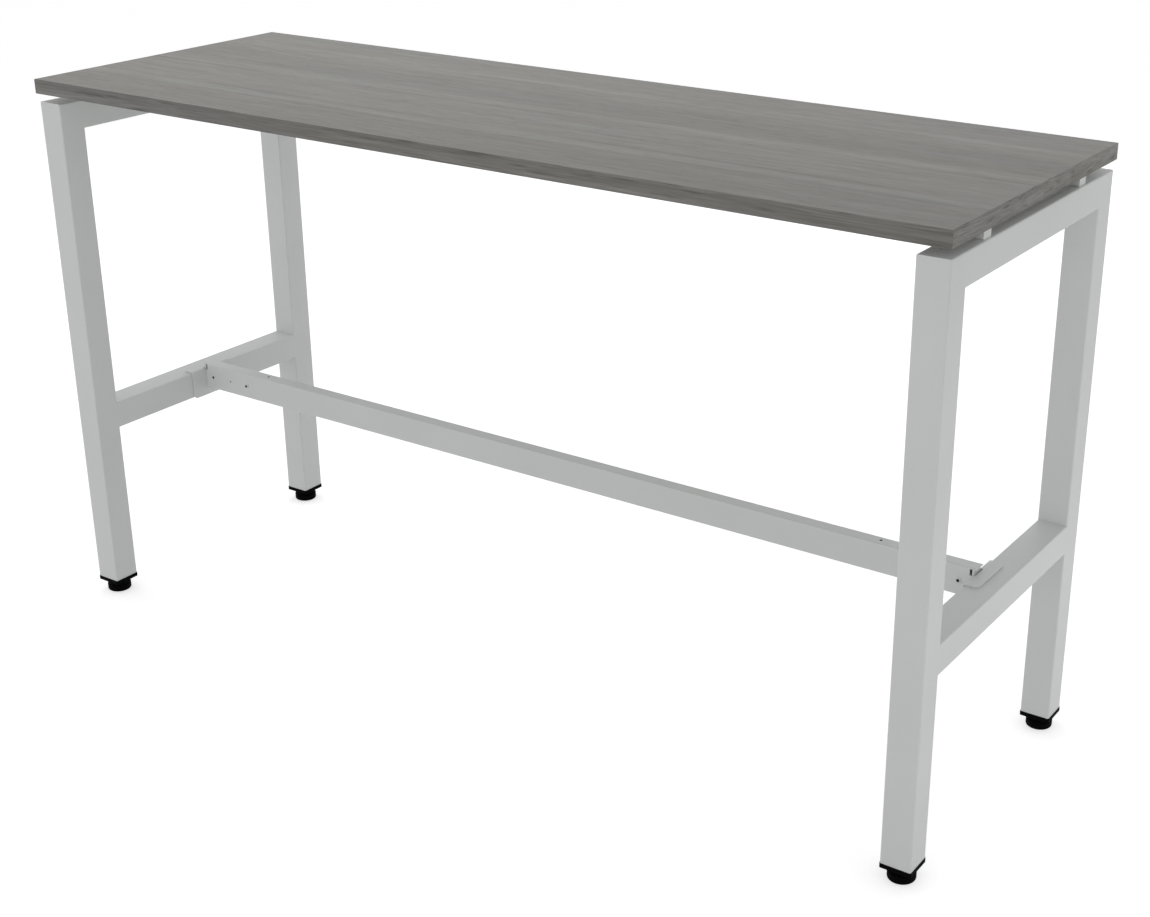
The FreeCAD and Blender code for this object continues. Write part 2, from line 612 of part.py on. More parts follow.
def build_brackets():
    """Bent plates hooked over the cross rails, each with a spigot for the stretcher."""
    for name, side in ENDS:
        bracket = add_body(f"bracket_{name}")
        web_height = "sizes.tube_size + sizes.bracket_drop + sizes.bracket_plate"
        web = add_sketch(bracket, "XY_Plane", x="-sizes.bracket_plate / 2",
                         z="-sizes.tube_size - sizes.bracket_drop")
        draw_rectangle(web, "web", "sizes.bracket_plate", "sizes.bracket_width")
        pad(bracket, web, web_height)
        flange = add_sketch(bracket, "XY_Plane", x="(sizes.bracket_flange - sizes.bracket_plate) / 2")
        draw_rectangle(flange, "flange", "sizes.bracket_flange + sizes.bracket_plate", "sizes.bracket_width")
        pad(bracket, flange, "sizes.bracket_plate")
        round_bracket(bracket)

        notch = add_sketch(
            bracket, "XY_Plane",
            x=f"(sizes.tab_notch - sizes.bracket_plate - {CUT_MARGIN}) / 2",
            z=f"sizes.bracket_plate + {CUT_MARGIN}")
        draw_rectangle(notch, "notch", f"sizes.tab_notch + sizes.bracket_plate + {CUT_MARGIN}",
                       "sizes.stretcher_depth + 2 * sizes.tab_relief")
        cut(bracket, notch, f"sizes.bracket_plate + {CUT_MARGIN} + sizes.bracket_bend")
        tab = add_sketch(bracket, "XY_Plane", x="-sizes.bracket_plate / 2", z="-sizes.bracket_bend")
        draw_rectangle(tab, "tab", "sizes.bracket_plate", "sizes.stretcher_depth")
        pad(bracket, tab, "sizes.stretcher_rise - sizes.stretcher_wall + sizes.bracket_bend")
        place(bracket, f"{side} * places.cross_rail_face", z="sizes.cross_rail_top",
              degrees=0 if side > 0 else 180)

        spigot = add_tube(f"spigot_{name}", "sizes.spigot_height", "places.spigot_depth", "sizes.spigot_wall",
                          "sizes.spigot_length")
        tapped = add_sketch(
            spigot, "XZ_Plane", x=f"{side} * (places.stretcher_middle - places.spigot_middle)",
            y="sizes.stretcher_end_gap + sizes.joint_screw_setback")
        draw_circle(tapped, "sizes.joint_screw_shank + 2 * sizes.thread_clearance")
        first = cut(spigot, tapped, "2 * places.spigot_depth", both_sides=True)
        repeat(spigot, [first], "Z_Axis", "sizes.joint_screw_pitch", "2")
        lay_spigot(spigot, side)


def round_bracket(bracket):
    """Round the bracket's bend, inside and out, and its free corners, and chamfer its edges on the rail."""
    shape = bracket.Shape
    left = shape.BoundBox.XMin
    right = shape.BoundBox.XMax
    top = shape.BoundBox.ZMax
    bottom = shape.BoundBox.ZMin
    outer_bend = edge_names(shape, lambda edge: is_bend(edge, left, top))
    dress(bracket, "Fillet", outer_bend, "sizes.bracket_bend + sizes.bracket_plate")
    inner_bend = edge_names(bracket.Shape, lambda edge: is_bend(edge, 0, 0))
    dress(bracket, "Fillet", inner_bend, "sizes.bracket_bend")
    flange_corners = edge_names(
        bracket.Shape, lambda edge: runs_along(edge, (0, 0, 1)) and near(edge.BoundBox.XMin, right))
    dress(bracket, "Fillet", flange_corners, "sizes.bracket_corner")
    web_corners = edge_names(
        bracket.Shape, lambda edge: runs_along(edge, (1, 0, 0)) and at_level(edge, bottom))
    dress(bracket, "Fillet", web_corners, "sizes.bracket_corner")
    lower_edges = edge_names(bracket.Shape, lambda edge: is_bend(edge, right, 0))
    dress(bracket, "Chamfer", lower_edges, "sizes.bracket_arris")


def is_bend(edge, x, height):
    """Whether an edge runs front to back at a place along X and a height."""
    return runs_along(edge, (0, 1, 0)) and at_level(edge, height) and near(edge.BoundBox.XMax, x)


def lay_spigot(spigot, side):
    """Lay a spigot along X, from the bracket's plate towards the middle of the desk."""
    place(spigot, f"{side} * places.bracket_face", z="places.spigot_middle", axis=(0, 1, 0),
          degrees=-90 * side)


def build_stretcher_screws():
    """Two round-headed screws through the stretcher's front face at each end."""
    screws = add_screw("stretcher_screws", "sizes.joint_screw_shank", "sizes.joint_screw_length",
                       "sizes.joint_screw_head", "sizes.joint_screw_head_height")
    spread(screws, "X_Axis", "sizes.joint_screw_pitch")
    spread(screws, "X_Axis", "2 * places.joint_screw_x - sizes.joint_screw_pitch")
    place(screws, "-places.joint_screw_x", "-sizes.stretcher_depth / 2", "places.stretcher_middle",
          axis=(1, 0, 0), degrees=-90)


# The feet

def build_leg_cap(name, x, y):
    """Square plastic plug with a flange under the leg and a boss that traps the foot nut."""
    cap = add_body(f"leg_cap_{name}")
    flange = add_sketch(cap, "XY_Plane", z="-sizes.cap_flange")
    draw_rectangle(flange, "flange", "places.cap_width", "places.cap_width")
    pad(cap, flange, "sizes.cap_flange")
    upright = edge_names(cap.Shape, lambda edge: runs_along(edge, (0, 0, 1)))
    dress(cap, "Fillet", upright, "sizes.tube_corner + sizes.cap_overhang")
    lowest = cap.Shape.BoundBox.ZMin
    rim = edge_names(cap.Shape, lambda edge: at_level(edge, lowest))
    dress(cap, "Fillet", rim, "sizes.cap_arris")

    plug = add_sketch(cap, "XY_Plane")
    draw_rectangle(plug, "outer", "places.plug_width", "places.plug_width")
    draw_rectangle(plug, "inner", "places.plug_width - 2 * sizes.cap_plug_wall",
                   "places.plug_width - 2 * sizes.cap_plug_wall")
    pad(cap, plug, "sizes.cap_plug_depth")
    corners = edge_names(cap.Shape, lambda edge: is_plug_corner(edge))
    dress(cap, "Fillet", corners, "sizes.tube_inner_corner + sizes.cap_plug_clearance")
    boss = add_sketch(cap, "XY_Plane")
    draw_circle(boss, "sizes.cap_boss")
    pad(cap, boss, "sizes.cap_plug_depth")

    pocket = add_sketch(cap, "XY_Plane", z="-sizes.cap_flange")
    draw_hexagon(pocket, "sizes.foot_nut_across + 2 * sizes.foot_nut_clearance")
    cut(cap, pocket, "sizes.foot_nut_recess + sizes.foot_nut_height", along_normal=True)
    passage = add_sketch(cap, "XY_Plane", z="-sizes.cap_flange")
    draw_circle(passage, "sizes.stud_diameter + 2 * sizes.stud_hole_clearance")
    cut(cap, passage, "sizes.cap_flange + sizes.cap_plug_depth", along_normal=True)
    place(cap, x, y, "places.leg_bottom")


def is_plug_corner(edge):
    """Whether an edge is an upright outer corner of a leg cap's plug."""
    box = edge.BoundBox
    middle_of_wall = doc.places.plug_width / 2 - doc.sizes.cap_plug_wall / 2
    return runs_along(edge, (0, 0, 1)) and near(box.ZMin, 0) and abs(box.XMin) > middle_of_wall


def build_foot_stud(name, x, y):
    """Plain stud that stands for the threaded one, with a spanner collar."""
    stud = add_body(f"foot_stud_{name}")
    rod = add_sketch(stud, "XY_Plane")
    draw_circle(rod, "sizes.stud_diameter")
    pad(stud, rod, "sizes.stud_length")
    highest = stud.Shape.BoundBox.ZMax
    dress(stud, "Chamfer", edge_names(stud.Shape, lambda edge: at_level(edge, highest)), "sizes.stud_tip")
    collar = add_sketch(stud, "XY_Plane", z="places.collar_bottom - places.stud_bottom")
    draw_hexagon(collar, "sizes.collar_across")
    pad(stud, collar, "sizes.collar_height")
    place(stud, x, y, "places.stud_bottom")


def build_foot_pad(name, x, y):
    """Round pad with a socket for the stud."""
    foot = add_body(f"foot_pad_{name}")
    disc = add_sketch(foot, "XY_Plane")
    draw_circle(disc, "sizes.pad_diameter")
    pad(foot, disc, "sizes.pad_height")
    dress(foot, "Fillet", edge_names(foot.Shape, lambda edge: at_level(edge, 0)), "sizes.pad_lower_edge")
    highest = foot.Shape.BoundBox.ZMax
    rim = edge_names(foot.Shape, lambda edge: at_level(edge, highest))
    dress(foot, "Chamfer", rim, "sizes.pad_upper_edge")
    socket = add_sketch(foot, "XY_Plane", z="sizes.pad_height")
    draw_circle(socket, "sizes.stud_diameter + 2 * sizes.socket_clearance")
    cut(foot, socket, "sizes.socket_depth")
    place(foot, x, y, "0")


def build_feet():
    """A leg cap, a trapped nut, a stud and a pad under each leg."""
    for name, side_x, side_y in CORNERS:
        x = f"{side_x} * places.leg_x"
        y = f"{side_y} * places.leg_y"
        build_leg_cap(name, x, y)
        nut = add_nut(f"foot_nut_{name}", "sizes.foot_nut_across", "sizes.foot_nut_height",
                      "sizes.stud_diameter")
        place(nut, x, y, "places.cap_bottom + sizes.foot_nut_recess")
        build_foot_stud(name, x, y)
        build_foot_pad(name, x, y)


# Checking and writing

def check_document():
    """Stop if anything failed to build."""
    for item in doc.Objects:
        if {"Invalid", "Error"} & set(item.State):
            raise RuntimeError(f"{item.Label} did not build")
    for body in pieces:
        if body.Shape.isNull() or not body.Shape.isValid() or not body.Shape.Solids:
            raise RuntimeError(f"{body.Label} has no valid solid")


def write_parts():
    """Write each sub-part to a file of its own."""
    os.makedirs("parts", exist_ok=True)
    for body in pieces:
        body.Shape.exportStep(f"parts/{body.Label}.step")


add_sheet("sizes", SIZES)
add_sheet("places", PLACES)
build_top()
build_edge_bands()
build_end_frames()
build_support_rails()
build_top_fixings()
build_stretcher()
build_brackets()
build_stretcher_screws()
build_feet()
doc.recompute()
check_document()
write_parts()
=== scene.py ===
"""Looks of the standing desk: finishes, turned and ground details, floor, light and camera.

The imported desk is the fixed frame. Threaded studs, screws with driver recesses and ground welds are
modelled here, and every piece gets a finish made of nodes. All lengths are in metres.
"""

import json
import math
from collections import namedtuple

import bmesh
import bpy
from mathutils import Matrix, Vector


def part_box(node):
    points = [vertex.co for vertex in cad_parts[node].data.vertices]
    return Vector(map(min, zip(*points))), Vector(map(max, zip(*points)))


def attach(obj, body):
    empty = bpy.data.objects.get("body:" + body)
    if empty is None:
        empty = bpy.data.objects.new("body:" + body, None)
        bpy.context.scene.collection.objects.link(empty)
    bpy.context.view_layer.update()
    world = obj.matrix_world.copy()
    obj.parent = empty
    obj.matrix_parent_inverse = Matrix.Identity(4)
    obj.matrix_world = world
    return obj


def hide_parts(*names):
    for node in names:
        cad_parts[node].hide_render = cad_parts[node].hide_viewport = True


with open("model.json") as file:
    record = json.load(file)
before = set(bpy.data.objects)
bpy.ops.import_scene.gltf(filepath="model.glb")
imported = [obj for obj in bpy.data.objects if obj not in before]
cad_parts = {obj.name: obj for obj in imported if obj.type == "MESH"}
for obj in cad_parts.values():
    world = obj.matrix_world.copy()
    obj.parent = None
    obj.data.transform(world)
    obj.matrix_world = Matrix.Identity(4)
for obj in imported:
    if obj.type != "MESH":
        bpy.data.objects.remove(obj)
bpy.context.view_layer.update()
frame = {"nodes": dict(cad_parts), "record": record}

MILLIMETRE = 0.001

SIDES = ("left", "right")
CORNERS = tuple(f"{depth}_{side}" for depth in ("front", "back") for side in SIDES)

# Modelling
MERGE_DISTANCE = 0.005 * MILLIMETRE
SMOOTH_ANGLE = math.radians(35)
FACING_UP = 0.9

# Levelling studs
STUD_DIAMETER = 10 * MILLIMETRE
STUD_END_CHAMFER = 1 * MILLIMETRE
STUD_SIDES = 48
THREAD_PITCH = 1.5 * MILLIMETRE
THREAD_DEPTH = 0.92 * MILLIMETRE
THREAD_CREST = 0.15
THREAD_STEPS = 20
COLLAR_ACROSS_FLATS = 17 * MILLIMETRE
COLLAR_LIFT = 9 * MILLIMETRE
COLLAR_HEIGHT = 8 * MILLIMETRE
COLLAR_CHAMFER = 1.1 * MILLIMETRE
COLLAR_SIDES = 72

# Screws: their roundings and recesses are shares of the head's or the shank's size
Screw = namedtuple("Screw", "head_diameter head_height shank_diameter")
WOOD_SCREW = Screw(9 * MILLIMETRE, 2.6 * MILLIMETRE, 4.5 * MILLIMETRE)
WOOD_SCREWS_ALONG = 6
FRAME_SCREW = Screw(11 * MILLIMETRE, 3.3 * MILLIMETRE, 6 * MILLIMETRE)
FRAME_SCREWS_ALONG = 2
STRETCHER_SCREW = Screw(9.5 * MILLIMETRE, 2.75 * MILLIMETRE, 5 * MILLIMETRE)
STRETCHER_SCREW_SPACING = 94 * MILLIMETRE
HEAD_SIDES = 32
HEAD_ROUNDING = 0.7
HEAD_ROUNDING_STEPS = 5
SHANK_SIDES = 24
SHANK_CHAMFER = 0.25
RECESS_SHARE = 0.6
CROSS_REACH = 1.15
CROSS_WING = 0.26
CROSS_TAPER = 0.45
SOCKET_SHARE = 0.66
SOCKET_LIP = 0.1 * MILLIMETRE
SOCKET_MARGIN = 1.01

# Ground welds, just narrower than the corner that they fill
TUBE_CORNER = 2.5 * MILLIMETRE
TUBE_CORNER_STEPS = 4
WELD_WIDTH = 2.45 * MILLIMETRE
WELD_DEPTH = 3 * MILLIMETRE

# Spans of a noise's values over which a finish changes
WIDE_SPAN = (0.2, 0.8)
MIDDLE_SPAN = (0.25, 0.75)
NARROW_SPAN = (0.3, 0.7)
CORE_SPAN = (0.35, 0.65)
FULL_RANGE = (0.0, 1.0)

# Wood: tones from dark to pale, and the places of the three on the scale of tone
COOL_TONES = ((0.119, 0.115, 0.1095), (0.217, 0.2155, 0.205), (0.3425, 0.3415, 0.329))
WARM_TONES = ((0.1255, 0.115, 0.104), (0.2265, 0.2175, 0.201), (0.3505, 0.3405, 0.320))
TONE_PLACES = (0.0, 0.5, 1.0)
WOOD_ROUGHNESS = (0.64, 0.52)
WOOD_GLOSS = 0.2
WOOD_RELIEF = 0.04 * MILLIMETRE

# Printed grain: how often each layer changes in a metre, along the grain and on both axes across it
WANDER_RATE = (1.4, 6.0, 6.0)
WANDER_REACH = 30 * MILLIMETRE
RIPPLE_RATE = (11.0, 30.0, 30.0)
RIPPLE_REACH = 8 * MILLIMETRE
STREAK_RATE = (4.5, 70.0, 70.0)
FIBRE_RATE = (24.0, 420.0, 420.0)
FLECK_RATE = (30.0, 240.0, 240.0)
FLECK_SHIFT = (2.1, 4.3, 6.7)
PORE_RATE = (55.0, 1400.0, 1400.0)
WARMTH_RATE = (2.0, 14.0, 14.0)
WARMTH_SHIFT = (6.3, 2.9, 4.7)

# Weight of each layer of the grain in its tone and in its relief
STREAK_TONE = 0.55
STREAK_RELIEF = 0.3
FIBRE_TONE = 0.5
FIBRE_RELIEF = 0.5
FLECK_SPAN = (0.58, 0.74)
FLECK_TONE = -0.22
PORE_SPAN = (0.62, 0.74)
PORE_TONE = -0.14
PORE_RELIEF = -0.8

# Print of the top: places of its lines and boards in its depth, each board as middle and half width
FIGURE_RATE = (1.2, 3.0, 3.0)
FIGURE_REACH = 16 * MILLIMETRE
PATCH_RATE = (2.4, 12.0, 12.0)
PALE_SEAMS = (0.190, 0.004, -0.172)
PALE_SEAM_WIDTH = 22 * MILLIMETRE
PALE_SEAM_FADE = ((0.38, 0.62), (0.35, 1.0))
PALE_SEAM_TONE = 0.1
DARK_LINES = (-0.020, -0.150, -0.190)
DARK_LINE_WIDTH = 6 * MILLIMETRE
DARK_LINE_FADE = ((0.42, 0.56), (1.0, 0.0))
DARK_LINE_TONE = -0.2
DARK_BOARDS = ((0.075, 0.055), (-0.250, 0.060))
DARK_BOARD_TONE = -0.07
BOARD_BLEND = 20 * MILLIMETRE

# Powder coat
PAINT_TONES = ((0.683, 0.701, 0.692), (0.715, 0.731, 0.724))
PAINT_ROUGHNESS = (0.5, 0.42)
PAINT_GLOSS = 0.35
PAINT_RATE = 700.0
PAINT_RELIEF = 0.03 * MILLIMETRE

# Moulded plastic
PLASTIC_TONES = ((0.001, 0.001, 0.001), (0.003, 0.003, 0.003))
PLASTIC_ROUGHNESS = (0.7, 0.58)
PLASTIC_GLOSS = 0.02
PLASTIC_RATE = 1600.0
PLASTIC_RELIEF = 0.06 * MILLIMETRE

# Backing sheet
BACKING_TONES = ((0.34, 0.335, 0.32), (0.43, 0.425, 0.41))
BACKING_ROUGHNESS = (0.78, 0.66)
BACKING_RATE = 420.0
BACKING_FLECK_RATE = (260.0, 900.0, 900.0)
BACKING_FLECK_WEIGHT = 0.7
BACKING_DRIFT_WEIGHT = 0.4
BACKING_RELIEF = 0.03 * MILLIMETRE

# Particle board
CHIP_TONES = ((0.30, 0.21, 0.12), (0.56, 0.43, 0.28))
CHIP_ROUGHNESS = (0.95, 0.8)
CHIP_RATE = 380.0
CHIP_WEIGHT = 0.6
CHIP_FIBRE_RATE = (900.0, 300.0, 900.0)
CHIP_FIBRE_WEIGHT = 0.8
CHIP_RELIEF = 0.2 * MILLIMETRE

# Metals, each as its tones and its roughness
ZINC_PLATING = (((0.50, 0.52, 0.54), (0.66, 0.68, 0.69)), (0.24, 0.42))
# The sockets' steel is near black: bare dark steel and painted shade of the recesses
SOCKET_STEEL_AND_SHADE = (((0.025, 0.025, 0.026), (0.045, 0.045, 0.047)), (0.4, 0.55))
CLOUD_RATE = (260.0, 260.0, 260.0)
RUB_RATE = (900.0, 900.0, 5200.0)
WEAR_WEIGHT = 0.7
RUB_RELIEF = 0.006 * MILLIMETRE

# Slow drift of a sprayed or moulded surface
DRIFT_RATE = (4.0, 4.0, 4.0)

# Holes drilled in the stretcher's top, made near black inside as painted shade
DRILLED_HOLE_PLACE = 690 * MILLIMETRE
DRILLED_HOLE_RADIUS = 2.55 * MILLIMETRE
DRILLED_HOLE_FLOOR = 410 * MILLIMETRE
PAINTED_HOLE_SHADE = (0.02, 0.02, 0.021, 1.0)

# Nodes with a finish of their own, in place of their slot's
NODE_FINISHES = {
    # The long bands' finish is a darker copy of the laminate: painted shade
    "edge_band_front": "painted_shade_long_band", "edge_band_back": "painted_shade_long_band",
    "edge_band_left": "end_band", "edge_band_right": "end_band",
    # The stretcher's finish paints shade inside its two top holes
    "stretcher": "stretcher_hole_shade",
}

# Light panels, each as place, target, width, height and power, with an even surround
PANELS = {
    "overhead_panel": ((-0.75, 0.4, 2.6), (-0.75, 0.4, 0.0), 2.0, 1.0, 10.8),
    "front_panel": ((0.0, -4.2, 1.1), (0.0, 0.0, 0.6), 4.0, 2.2, 21.5),
    "back_panel": ((0.0, 4.2, 1.1), (0.0, 0.0, 0.6), 4.0, 2.2, 22.6),
    "left_panel": ((-4.2, 0.0, 1.1), (0.0, 0.0, 0.6), 4.0, 2.2, 28.2),
    "low_right_panel": ((2.0, 0.2, 0.27), (0.0, 0.2, 0.27), 2.4, 0.5, 3.05),
}
SURROUND_LIGHT = 0.53
WHITE = (1.0, 1.0, 1.0, 1.0)

# Floor
FLOOR_SIZE = 120.0
FLOOR_COLOUR = (0.8, 0.8, 0.8, 1.0)
FLOOR_GLOW = 0.57

# Camera
CAMERA_PLACE = Vector((1.85603, -2.43928, 1.68732))
CAMERA_AIM = Vector((-0.515918, 0.768036, -0.379407))
CAMERA_LENS = 56.7246
CAMERA_SENSOR = 36.0
CAMERA_SHIFT = (-0.057157, -0.014631)


# Modelling by hand

def begin(name, add_primitive, **sizes):
    """Add one primitive at its size and place, with nothing else selected."""
    bpy.ops.object.select_all(action="DESELECT")
    add_primitive(**sizes)
    piece = bpy.context.active_object
    piece.name = name
    piece.data.name = name
    bpy.ops.object.transform_apply(location=True, rotation=True, scale=True)
    return piece


def make_active(piece):
    """Leave one piece selected, ready for an operator."""
    bpy.ops.object.select_all(action="DESELECT")
    piece.select_set(True)
    bpy.context.view_layer.objects.active = piece


def edit(piece):
    """Open one piece in edit mode."""
    make_active(piece)
    bpy.ops.object.mode_set(mode="EDIT")


def leave_edit():
    """Go back to object mode."""
    bpy.ops.object.mode_set(mode="OBJECT")


def pick_faces(piece, wanted):
    """Select the faces whose middle and normal pass a test."""
    bpy.ops.mesh.select_mode(type="FACE")
    bpy.ops.mesh.select_all(action="DESELECT")
    mesh = bmesh.from_edit_mesh(piece.data)
    for face in mesh.faces:
        face.select_set(wanted(face.calc_center_median(), face.normal))
    bmesh.update_edit_mesh(piece.data)


def pick_edges(piece, wanted):
    """Select the edges whose two ends pass a test."""
    bpy.ops.mesh.select_mode(type="EDGE")
    bpy.ops.mesh.select_all(action="DESELECT")
    mesh = bmesh.from_edit_mesh(piece.data)
    for edge in mesh.edges:
        edge.select_set(wanted(edge.verts[0].co, edge.verts[1].co))
    bmesh.update_edit_mesh(piece.data)


def apply_modifier(piece, kind, **settings):
    """Add a modifier, set it and apply it."""
    make_active(piece)
    modifier = piece.modifiers.new(kind.lower(), kind)
    for name, value in settings.items():
        setattr(modifier, name, value)
    bpy.ops.object.modifier_apply(modifier=modifier.name)


def combine(piece, tool, operation):
    """Cut, join or intersect a piece with a tool, which is then thrown away."""
    apply_modifier(piece, "BOOLEAN", operation=operation, object=tool, solver="EXACT")
    bpy.data.objects.remove(tool)


def join(pieces, name):
    """Join pieces into the first one."""
    make_active(pieces[0])
    for piece in pieces:
        piece.select_set(True)
    bpy.ops.object.join()
    pieces[0].name = name
    pieces[0].data.name = name
    return pieces[0]


def close_up(piece):
    """Merge doubled points and turn every face outwards."""
    edit(piece)
    bpy.ops.mesh.select_all(action="SELECT")
    bpy.ops.mesh.remove_doubles(threshold=MERGE_DISTANCE)
    bpy.ops.mesh.normals_make_consistent(inside=False)
    leave_edit()


def smooth(piece):
    """Shade a piece smooth, with its sharp edges kept."""
    make_active(piece)
    bpy.ops.object.shade_smooth_by_angle(angle=SMOOTH_ANGLE)


def copy_to(piece, name, place, turn=(0, 0, 0)):
    """A copy of a piece with its own mesh, turned and moved to its place."""
    make_active(piece)
    bpy.ops.object.duplicate(linked=False)
    copy = bpy.context.active_object
    copy.name = name
    copy.data.name = name
    copy.location = place
    copy.rotation_euler = turn
    bpy.ops.object.transform_apply(location=True, rotation=True, scale=True)
    return copy


def fit(piece, finish, slot, body, *nodes):
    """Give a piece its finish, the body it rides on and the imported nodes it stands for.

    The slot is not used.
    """
    piece.data.materials.clear()
    piece.data.materials.append(finish)
    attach(piece, body)
    if nodes:
        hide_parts(*nodes)


def spread(first, last, count):
    """Evenly spaced places from the first to the last."""
    return [first + (last - first) * k / (count - 1) for k in range(count)]


# Levelling studs

def wind_thread(radius, bottom, top):
    """A screw thread on the upright axis, cut square at both ends."""
    tooth = Vector((radius - THREAD_DEPTH / 2, 0, 0))
    thread = begin("thread", bpy.ops.mesh.primitive_plane_add, size=THREAD_PITCH, location=tooth,
                   rotation=(math.pi / 2, 0, 0))
    edit(thread)
    bpy.ops.mesh.select_all(action="SELECT")
    bpy.ops.transform.resize(value=(THREAD_DEPTH / THREAD_PITCH, 1, 1), center_override=tooth)
    bpy.ops.mesh.delete(type="ONLY_FACE")
    pick_edges(thread, lambda a, b: max(a.x, b.x) < tooth.x)
    bpy.ops.mesh.delete(type="EDGE")
    pick_edges(thread, lambda a, b: min(a.x, b.x) > tooth.x)
    bpy.ops.transform.resize(value=(1, 1, THREAD_CREST), center_override=tooth)
    bpy.ops.mesh.select_all(action="SELECT")
    bpy.ops.transform.translate(value=(0, 0, bottom - THREAD_PITCH))
    leave_edit()
    turns = math.ceil((top - bottom) / THREAD_PITCH) + 2
    apply_modifier(thread, "SCREW", axis="Z", angle=2 * math.pi, screw_offset=THREAD_PITCH,
                   iterations=turns, steps=THREAD_STEPS, render_steps=THREAD_STEPS)
    close_up(thread)
    edit(thread)
    for height, way in ((bottom, -1), (top, 1)):
        bpy.ops.mesh.select_all(action="SELECT")
        bpy.ops.mesh.bisect(plane_co=(0, 0, height), plane_no=(0, 0, way), use_fill=True,
                            clear_outer=True)
    leave_edit()
    close_up(thread)
    return thread


def turn_collar(bottom):
    """A hexagon collar whose corners are turned off at both faces."""
    height = bottom + COLLAR_HEIGHT / 2
    corner_radius = COLLAR_ACROSS_FLATS / math.sqrt(3)
    collar = begin("collar", bpy.ops.mesh.primitive_cylinder_add, vertices=6, radius=corner_radius,
                   depth=COLLAR_HEIGHT, location=(0, 0, height), rotation=(0, 0, math.pi / 6))
    turning = begin("turning", bpy.ops.mesh.primitive_cylinder_add, vertices=COLLAR_SIDES,
                    radius=corner_radius, depth=COLLAR_HEIGHT, location=(0, 0, height))
    edit(turning)
    pick_edges(turning, lambda a, b: abs(a.z - b.z) < COLLAR_HEIGHT / 2)
    bpy.ops.mesh.bevel(offset=COLLAR_CHAMFER, segments=1, affect="EDGES")
    leave_edit()
    combine(collar, turning, "INTERSECT")
    return collar


def turn_stud_foot(radius, bottom, top):
    """The plain lower end of a stud, which sits in the pad's socket."""
    half_way = (bottom + top) / 2
    foot = begin("stud_foot", bpy.ops.mesh.primitive_cylinder_add, vertices=STUD_SIDES, radius=radius,
                 depth=top - bottom, location=(0, 0, half_way))
    edit(foot)
    pick_edges(foot, lambda a, b: max(a.z, b.z) < half_way)
    bpy.ops.mesh.bevel(offset=STUD_END_CHAMFER, segments=2, affect="EDGES")
    leave_edit()
    return foot


def make_studs(finish):
    """One levelling stud is modelled on the upright axis and copied to the four legs."""
    low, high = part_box(f"foot_stud_{CORNERS[0]}")
    collar_bottom = low.z + COLLAR_LIFT
    collar_top = collar_bottom + COLLAR_HEIGHT
    radius = STUD_DIAMETER / 2
    stud = turn_collar(collar_bottom)
    combine(stud, wind_thread(radius, collar_top - THREAD_PITCH, high.z), "UNION")
    combine(stud, turn_stud_foot(radius, low.z, collar_bottom + COLLAR_HEIGHT / 2), "UNION")
    close_up(stud)
    smooth(stud)
    for corner in CORNERS:
        low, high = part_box(f"foot_stud_{corner}")
        place = ((low.x + high.x) / 2, (low.y + high.y) / 2, 0)
        copy = copy_to(stud, f"threaded_stud_{corner}", place)
        fit(copy, finish, "zinc_steel", f"stud_{corner}", f"foot_stud_{corner}")
    bpy.data.objects.remove(stud)


# Screws

def turn_screw(screw, length):
    """A round head and a shank on the upright axis, the head's seat at zero and the shank upwards."""
    half_height = screw.head_height / 2
    head = begin("head", bpy.ops.mesh.primitive_cylinder_add, vertices=HEAD_SIDES,
                 radius=screw.head_diameter / 2, depth=screw.head_height, location=(0, 0, -half_height))
    edit(head)
    pick_edges(head, lambda a, b: max(a.z, b.z) < -half_height)
    bpy.ops.mesh.bevel(offset=screw.head_height * HEAD_ROUNDING, segments=HEAD_ROUNDING_STEPS,
                       affect="EDGES")
    leave_edit()
    shank = begin("shank", bpy.ops.mesh.primitive_cylinder_add, vertices=SHANK_SIDES,
                  radius=screw.shank_diameter / 2, depth=length, location=(0, 0, length / 2))
    edit(shank)
    pick_edges(shank, lambda a, b: min(a.z, b.z) > length / 2)
    bpy.ops.mesh.bevel(offset=screw.shank_diameter * SHANK_CHAMFER, segments=1, affect="EDGES")
    leave_edit()
    return head, shank


def cross_tool(screw):
    """The cutter for a cross recess: two crossed bars that narrow as they go in."""
    depth = screw.head_height * RECESS_SHARE
    head_radius = screw.head_diameter / 2
    bars = []
    for turn in (0, math.pi / 2):
        bar = begin("bar", bpy.ops.mesh.primitive_cube_add, size=1, location=(0, 0, -screw.head_height),
                    rotation=(0, 0, turn),
                    scale=(head_radius * CROSS_REACH, head_radius * CROSS_WING, depth * 2))
        edit(bar)
        pick_faces(bar, lambda place, normal: normal.z > FACING_UP)
        bpy.ops.transform.resize(value=(CROSS_TAPER, CROSS_TAPER, 1),
                                 center_override=(0, 0, depth - screw.head_height))
        leave_edit()
        bars.append(bar)
    combine(bars[0], bars[1], "UNION")
    return bars[0]


def hexagon_tool(screw):
    """The cutter for a hexagon socket."""
    return begin("hexagon", bpy.ops.mesh.primitive_cylinder_add, vertices=6,
                 radius=screw.head_diameter / 2 * SOCKET_SHARE,
                 depth=screw.head_height * RECESS_SHARE * 2, location=(0, 0, -screw.head_height))


def set_screws(name, parts, tool, places, turn=(0, 0, 0)):
    """Cut the recess in one screw's head and copy the screw to all its places, as one piece."""
    screw, shank = parts
    combine(screw, tool, "DIFFERENCE")
    combine(screw, shank, "UNION")
    close_up(screw)
    smooth(screw)
    group = join([copy_to(screw, name, place, turn) for place in places], name)
    bpy.data.objects.remove(screw)
    return group


def set_upright_screws(name, node, screw, tool, along, finish):
    """Screws from below in two rows, with so many along each row, in place of a packed group."""
    low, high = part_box(node)
    edge = screw.head_diameter / 2
    seat = low.z + screw.head_height
    places = [(x, y, seat) for x in spread(low.x + edge, high.x - edge, along)
              for y in (low.y + edge, high.y - edge)]
    screws = set_screws(name, turn_screw(screw, high.z - seat), tool(screw), places)
    fit(screws, finish, "zinc_steel", "frame", node)


